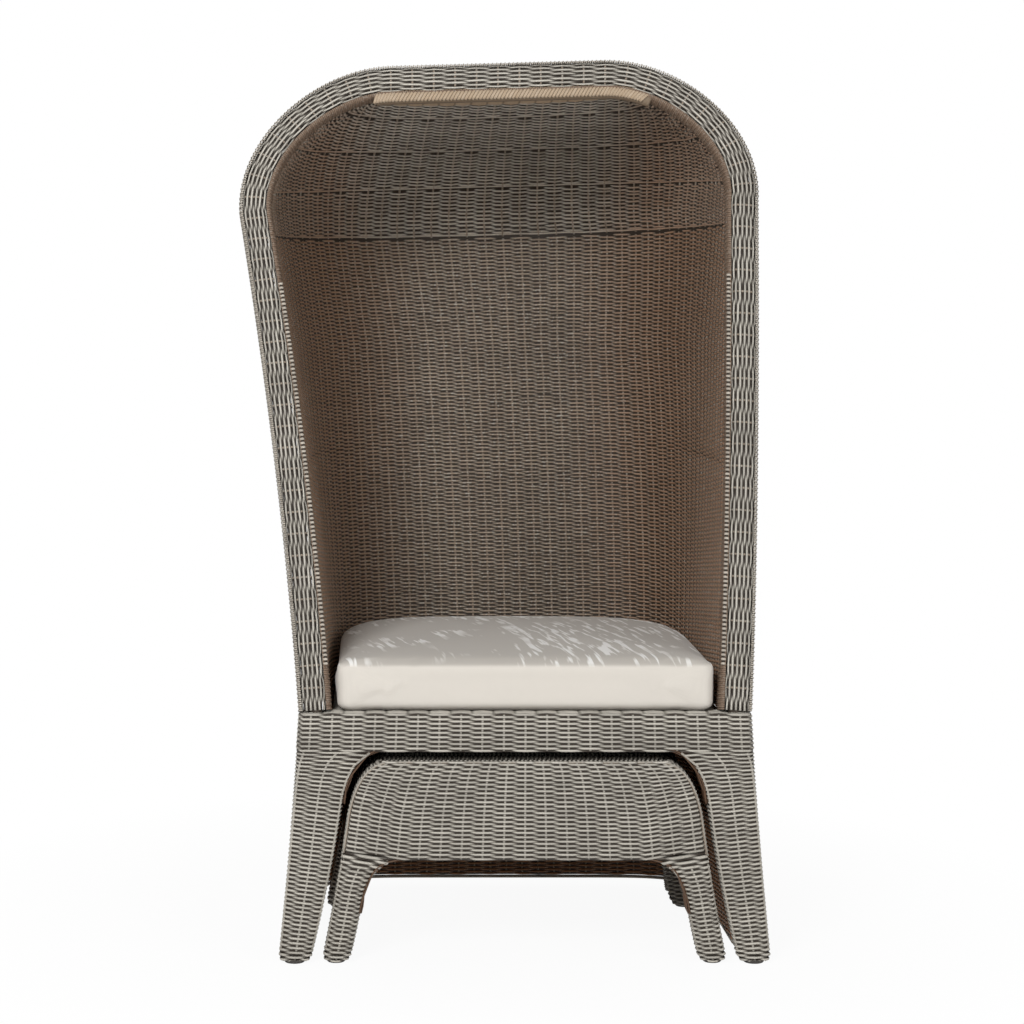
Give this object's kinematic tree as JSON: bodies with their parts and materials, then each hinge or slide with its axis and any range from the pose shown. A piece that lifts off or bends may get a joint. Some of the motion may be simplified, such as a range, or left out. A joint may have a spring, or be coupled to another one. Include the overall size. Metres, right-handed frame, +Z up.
{
  "type": "hooded beach chair",
  "caption": "Tall woven chair with a domed hood and wide rolled rim, a thick box seat cushion, and a woven arched footstool that nests under the seat.",
  "frame": {"origin": "on the floor, at the centre of the whole chair's bounding box in plan", "axes": "+Z up, -Y the way the seat faces, +X to the right as seen from the front"},
  "size_m": [0.8796, 0.7744, 1.4964],
  "materials": {
    "weave": "matt grey-washed woven strand, browner on its inner side",
    "frame": "dark powder-coated tube",
    "cushion": "plain cream woven cloth over foam",
    "glide": "dark moulded plastic"
  },
  "bodies": {
    "chair": {"front_hoop": "frame", "hood_rim": "weave", "left_wing": "weave", "back_wall": "weave", "right_wing": "weave", "crown_left": "weave", "crown_back": "weave", "crown_right": "weave", "roof_front": "weave", "crease_rib": "frame", "crown_rib_1": "frame", "crown_rib_2": "frame", "crown_rib_3": "frame", "base_front": "weave", "seat_front_rail": "frame", "seat_ring_rail": "frame", "seat_bearer_1": "frame", "seat_bearer_2": "frame", "seat_deck": "weave", "skirt_left": "weave", "skirt_back": "weave", "skirt_right": "weave", "skirt_hem": "weave", "back_leg_left": "weave", "back_leg_right": "weave", "back_glide_left": "glide", "back_glide_right": "glide", "front_glide_left": "glide", "front_glide_right": "glide"},
    "cushion": {"seat_cushion": "cushion"},
    "footstool": {"footstool_front_bow": "frame", "footstool_back_bow": "frame", "footstool_front": "weave", "footstool_back": "weave", "footstool_top": "weave", "footstool_rail_left": "frame", "footstool_rail_right": "frame", "footstool_slat_1": "frame", "footstool_slat_2": "frame", "footstool_front_glide_left": "glide", "footstool_front_glide_right": "glide", "footstool_back_glide_left": "glide", "footstool_back_glide_right": "glide"}
  },
  "joints": [
    {"name": "footstool_slide", "type": "slide", "parent": "chair", "child": "footstool", "axis": [0, -1, 0], "range_m": [0, 0.6]},
    {"name": "cushion_lift", "type": "slide", "parent": "chair", "child": "cushion", "axis": [0, 0, 1], "range_m": [0, 0.3]}
  ]
}
